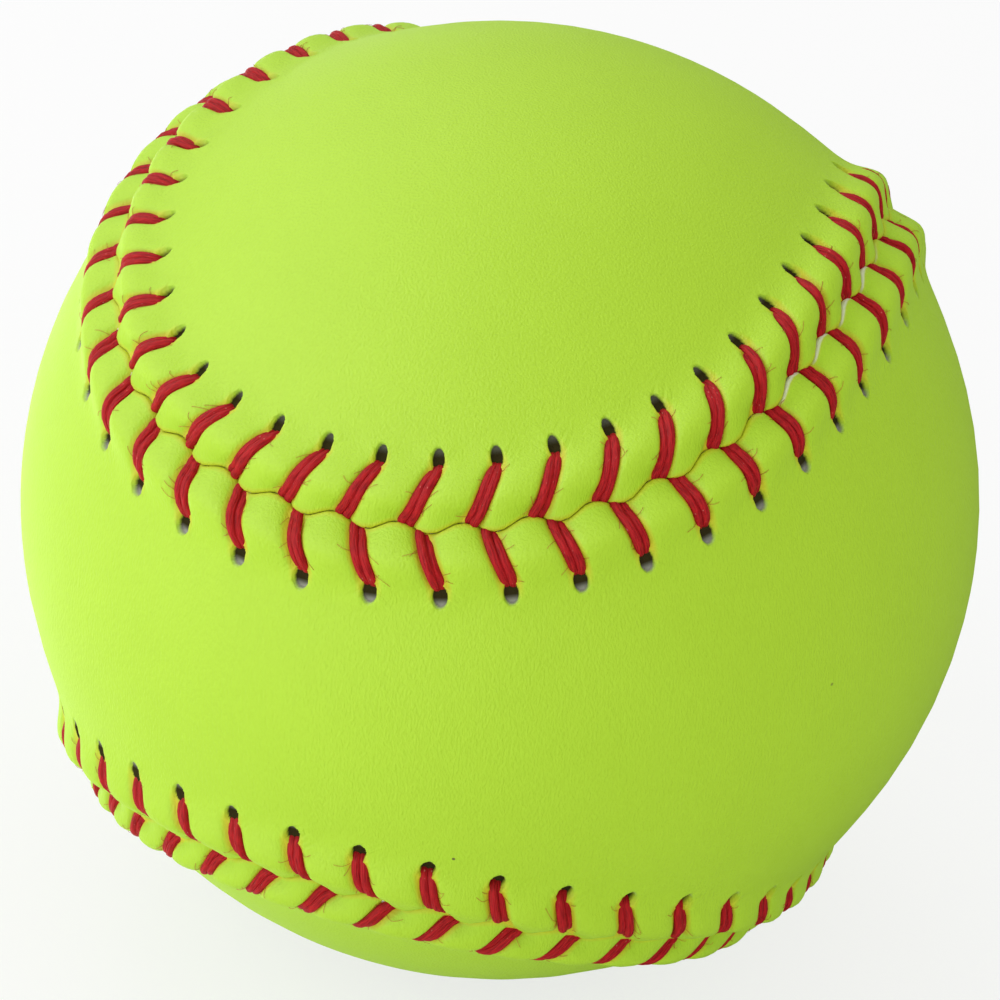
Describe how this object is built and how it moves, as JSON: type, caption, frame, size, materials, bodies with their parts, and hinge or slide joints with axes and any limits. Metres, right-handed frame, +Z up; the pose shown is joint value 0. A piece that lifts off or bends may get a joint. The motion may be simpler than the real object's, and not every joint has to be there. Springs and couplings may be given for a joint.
{
  "type": "softball",
  "caption": "Round optic-yellow softball with a two-panel synthetic leather cover sewn over a solid core by a raised red seam.",
  "frame": {"origin": "centre of the ball", "axes": "+Y along the seam's own axis, from the waist of one panel to the waist of the other, +X and -X through the lobes of panel B, +Z up through the upper lobe of panel A"},
  "size_m": [0.097, 0.097, 0.097],
  "materials": {
    "core": "cast foam, matte",
    "cement": "dried cement, tacky matte",
    "backing": "white non-woven felt",
    "cover_a": "fine-grained, satin",
    "cover_b": "fine-grained, satin",
    "thread_a": "waxed twisted thread",
    "thread_b": "waxed twisted thread"
  },
  "bodies": {
    "root": {"core": "core", "cement_coat": "cement", "panel_a_backing": "backing", "panel_b_backing": "backing", "panel_a_skin": "cover_a", "panel_b_skin": "cover_b", "thread_a": "thread_a", "thread_b": "thread_b"}
  },
  "joints": []
}
